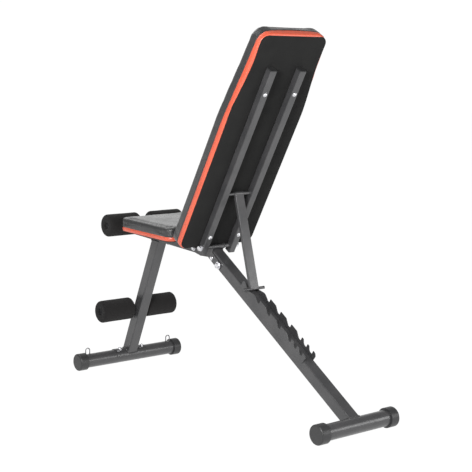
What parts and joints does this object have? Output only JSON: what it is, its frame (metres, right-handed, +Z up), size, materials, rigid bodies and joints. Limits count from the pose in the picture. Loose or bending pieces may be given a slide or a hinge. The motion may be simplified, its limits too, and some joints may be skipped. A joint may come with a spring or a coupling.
{
  "type": "decline sit-up bench",
  "caption": "Adjustable sit-up bench: padded seat on a leaning frame, foam leg rollers, reclining padded backrest propped by a strut in a notched rear leg, and band eyes on the front foot.",
  "frame": {"origin": "on the floor, midway between the front and rear feet and midway across the bench", "axes": "+X to the user's left, +Y from the front foot to the rear foot, +Z up"},
  "size_m": [0.448, 1.269, 1.2084],
  "materials": {
    "frame_paint": "satin dark grey powder coat",
    "zinc": "bright zinc plate",
    "cap_plastic": "moulded dark grey plastic",
    "vinyl": "black vinyl with an orange-red band round the lower edge",
    "board": "board under matt black backing cloth",
    "foam": "matt closed-cell foam"
  },
  "bodies": {
    "frame": {"front_foot_tube": "frame_paint", "front_foot_cap_left": "cap_plastic", "front_foot_cap_right": "cap_plastic", "front_foot_saddle": "frame_paint", "saddle_bolts": "zinc", "band_eye_left": "zinc", "band_eye_right": "zinc", "front_leg": "frame_paint", "lower_roller_rod": "frame_paint", "seat_beam": "frame_paint", "beam_front_plug": "cap_plastic", "upper_roller_rod": "frame_paint", "seat_board": "board", "seat_cushion": "vinyl", "seat_riser": "frame_paint", "seat_bolts": "zinc", "hinge_plate_left": "frame_paint", "hinge_plate_right": "frame_paint", "hinge_sleeve": "frame_paint", "beam_bolt": "zinc", "beam_bolt_washers": "zinc", "leg_pivot_bolt": "zinc", "leg_pivot_washers": "zinc", "leg_lock_bolt": "zinc", "rear_leg": "frame_paint", "rack_plate_left": "frame_paint", "rack_plate_right": "frame_paint", "rear_foot_tube": "frame_paint", "rear_foot_cap_left": "cap_plastic", "rear_foot_cap_right": "cap_plastic"},
    "backrest": {"backrest_rail_left": "frame_paint", "backrest_rail_right": "frame_paint", "rail_plugs": "cap_plastic", "rail_bolts": "zinc", "mid_rod": "frame_paint", "backrest_board": "board", "backrest_cushion": "vinyl", "hinge_bolt": "zinc", "hinge_washers": "zinc"},
    "strut": {"strut_bar": "frame_paint", "strut_sleeve": "frame_paint", "strut_cross_bar": "frame_paint"},
    "lower_roller_left": {"lower_roller_left": "foam"},
    "lower_roller_right": {"lower_roller_right": "foam"},
    "upper_roller_left": {"upper_roller_left": "foam"},
    "upper_roller_right": {"upper_roller_right": "foam"}
  },
  "joints": [
    {"name": "backrest_recline", "type": "hinge", "parent": "frame", "child": "backrest", "pos_m": [0, -0.0585, 0.4975], "axis": [-1, 0, 0], "range_deg": [0, 86.55]},
    {"name": "strut_swing", "type": "hinge", "parent": "backrest", "child": "strut", "pos_m": [0, 0.05094, 0.68256], "axis": [1, 0, 0], "range_deg": [0, 125.5]},
    {"name": "lower_roller_left_spin", "type": "hinge", "parent": "frame", "child": "lower_roller_left", "pos_m": [0, -0.54783, 0.21827], "axis": [1, 0, 0], "continuous": true},
    {"name": "lower_roller_right_spin", "type": "hinge", "parent": "frame", "child": "lower_roller_right", "pos_m": [0, -0.54783, 0.21827], "axis": [1, 0, 0], "continuous": true},
    {"name": "upper_roller_left_spin", "type": "hinge", "parent": "frame", "child": "upper_roller_left", "pos_m": [0, -0.49854, 0.53714], "axis": [1, 0, 0], "continuous": true},
    {"name": "upper_roller_right_spin", "type": "hinge", "parent": "frame", "child": "upper_roller_right", "pos_m": [0, -0.49854, 0.53714], "axis": [1, 0, 0], "continuous": true}
  ],
  "couplings": [
    {"joint": "strut_swing", "follows": "backrest_recline", "ratio": 1.4485}
  ]
}
